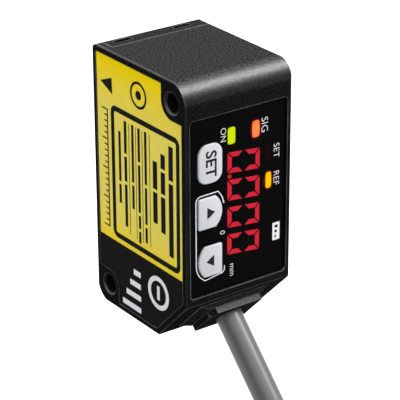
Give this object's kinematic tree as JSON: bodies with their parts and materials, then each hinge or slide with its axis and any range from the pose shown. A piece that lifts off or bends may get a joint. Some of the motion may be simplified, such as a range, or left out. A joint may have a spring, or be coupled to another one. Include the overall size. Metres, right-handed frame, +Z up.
{
  "type": "laser displacement sensor",
  "caption": "Small black box-shaped laser distance sensor with a digit display and keys on one end, windows on the other, side holes and a fixed cable from a chamfered corner.",
  "frame": {"origin": "midway between the two mounting holes, on the plain side face", "axes": "+Z up along the case's height, -Y out of the display, +Y along the laser beam, +X out of the plain side face along the mounting screws"},
  "size_m": [0.0775, 0.0984, 0.0785],
  "materials": {
    "case_paint": "fine matte black paint on a casting",
    "cover_black": "fine matte black",
    "seal_rubber": "matte",
    "window_tint": "dark tinted, polished",
    "optics_black": "flat black",
    "holder_brass": "turned",
    "bright_steel": "plated",
    "lens_glass": "polished",
    "chip_black": "moulded",
    "board_green": "solder mask",
    "connector_ivory": "moulded",
    "display_black": "moulded",
    "segment_red": "lit red",
    "key_silver": "satin silver-white",
    "light_green": "lit green",
    "light_orange": "lit orange",
    "light_off": "unlit red",
    "light_amber": "lit amber",
    "panel_black": "polished black",
    "label_yellow": "satin printed film",
    "label_black": "satin printed film",
    "gland_black": "moulded",
    "wire_brown": "extruded insulation",
    "cable_grey": "extruded jacket",
    "tie_black": "soft tie"
  },
  "bodies": {
    "sensor": {"case": "case_paint", "front_cover": "cover_black", "front_gasket": "seal_rubber", "emitter_window": "window_tint", "receiver_window": "window_tint", "optical_base": "optics_black", "laser_holder": "holder_brass", "laser_diode": "bright_steel", "projector_lens": "lens_glass", "lens_ring": "optics_black", "receiver_lens": "lens_glass", "image_sensor": "chip_black", "main_board": "board_green", "processor": "chip_black", "laser_driver": "chip_black", "board_screws": "bright_steel", "board_connector": "connector_ivory", "display_board": "board_green", "digit_display": "display_black", "digit_segments": "segment_red", "tact_switches": "bright_steel", "laser_indicator": "light_green", "output_indicator": "light_orange", "set_indicator": "light_off", "zero_indicator": "light_amber", "display_panel": "panel_black", "panel_seal": "seal_rubber", "yellow_label": "label_yellow", "lower_label": "label_black", "cable_gland": "gland_black", "gland_seal": "seal_rubber", "cable_crimp": "bright_steel", "core_wires": "wire_brown", "wire_plug": "connector_ivory", "cable": "cable_grey", "cable_coil": "cable_grey", "coil_ties": "tie_black", "cable_tail": "cable_grey", "cable_leads": "wire_brown"},
    "set_key_body": {"set_key": "key_silver"},
    "up_key_body": {"up_key": "key_silver"},
    "down_key_body": {"down_key": "key_silver"}
  },
  "joints": [
    {"name": "set_key_press", "type": "slide", "parent": "sensor", "child": "set_key_body", "axis": [0, 1, 0], "range_m": [0, 0.00025], "stiffness_N_per_m": 2000},
    {"name": "up_key_press", "type": "slide", "parent": "sensor", "child": "up_key_body", "axis": [0, 1, 0], "range_m": [0, 0.00025], "stiffness_N_per_m": 2000},
    {"name": "down_key_press", "type": "slide", "parent": "sensor", "child": "down_key_body", "axis": [0, 1, 0], "range_m": [0, 0.00025], "stiffness_N_per_m": 2000}
  ]
}
